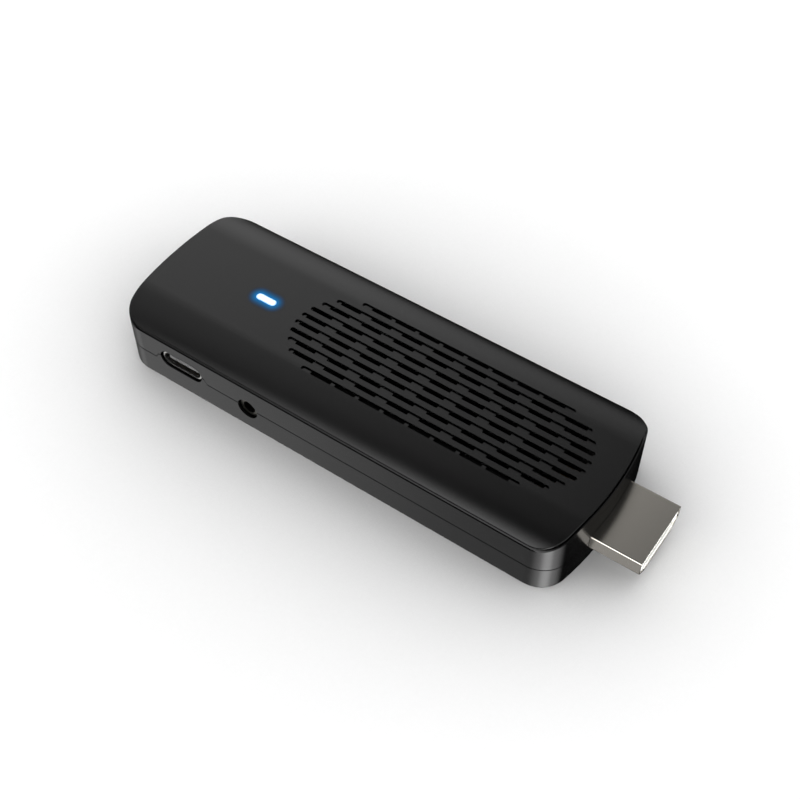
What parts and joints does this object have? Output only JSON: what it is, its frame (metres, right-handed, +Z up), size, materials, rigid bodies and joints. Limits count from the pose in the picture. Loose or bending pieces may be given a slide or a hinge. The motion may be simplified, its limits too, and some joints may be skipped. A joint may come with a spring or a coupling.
{
  "type": "streaming stick",
  "caption": "Slim black plastic streaming stick with a vented top cover, a steel video plug at one end, and a power port, a round jack and a blue status light.",
  "frame": {"origin": "middle of the body's resting face, the plug not counted", "axes": "+X towards the video plug, ports on the -Y side, +Z up out of the vented cover"},
  "size_m": [0.1028, 0.0338, 0.0132],
  "materials": {
    "cover_plastic": "fine satin texture",
    "housing_plastic": "satin",
    "light_pipe_plastic": "frosted, lit from below",
    "board_laminate": "solder mask",
    "screw_steel": "plain",
    "plug_steel": "satin nickel plated",
    "insulator_plastic": "natural",
    "contact_brass": "gold plated",
    "port_steel": "satin",
    "port_plastic": "plain",
    "ferrule_metal": "satin",
    "black_moulding": "plain",
    "plunger_plastic": "plain",
    "chip_plastic": "plain",
    "thermal_rubber": "soft",
    "inductor_ceramic": "sintered",
    "can_steel": "tinned",
    "capacitor_ceramic": "sintered",
    "light_chip_plastic": "clear",
    "black_aluminium": "black anodised",
    "antenna_brass": "plain"
  },
  "bodies": {
    "stick": {"top_cover": "cover_plastic", "upper_housing": "housing_plastic", "lower_housing": "housing_plastic", "light_pipe": "light_pipe_plastic", "main_board": "board_laminate", "board_screws": "screw_steel", "hdmi_shell": "plug_steel", "hdmi_insulator": "insulator_plastic", "hdmi_contacts": "contact_brass", "usb_c_shell": "port_steel", "usb_c_body": "port_plastic", "usb_c_contacts": "contact_brass", "jack_ferrule": "ferrule_metal", "jack_body": "black_moulding", "jack_contacts": "contact_brass", "switch_base": "black_moulding", "switch_dome": "screw_steel", "processor": "chip_plastic", "processor_pad": "thermal_rubber", "memory_chips": "chip_plastic", "flash_chip": "chip_plastic", "power_chip": "chip_plastic", "inductors": "inductor_ceramic", "crystal": "can_steel", "capacitors": "capacitor_ceramic", "status_led": "light_chip_plastic", "radio_board": "board_laminate", "radio_can": "can_steel", "shield_can": "can_steel", "heatsink_pad": "thermal_rubber", "heatsink": "black_aluminium", "antenna": "antenna_brass"},
    "recovery_plunger": {"switch_plunger": "plunger_plastic"}
  },
  "joints": [
    {"name": "recovery_press", "type": "slide", "parent": "stick", "child": "recovery_plunger", "axis": [0, 1, 0], "range_m": [0, 0.00025], "stiffness_N_per_m": 600}
  ]
}
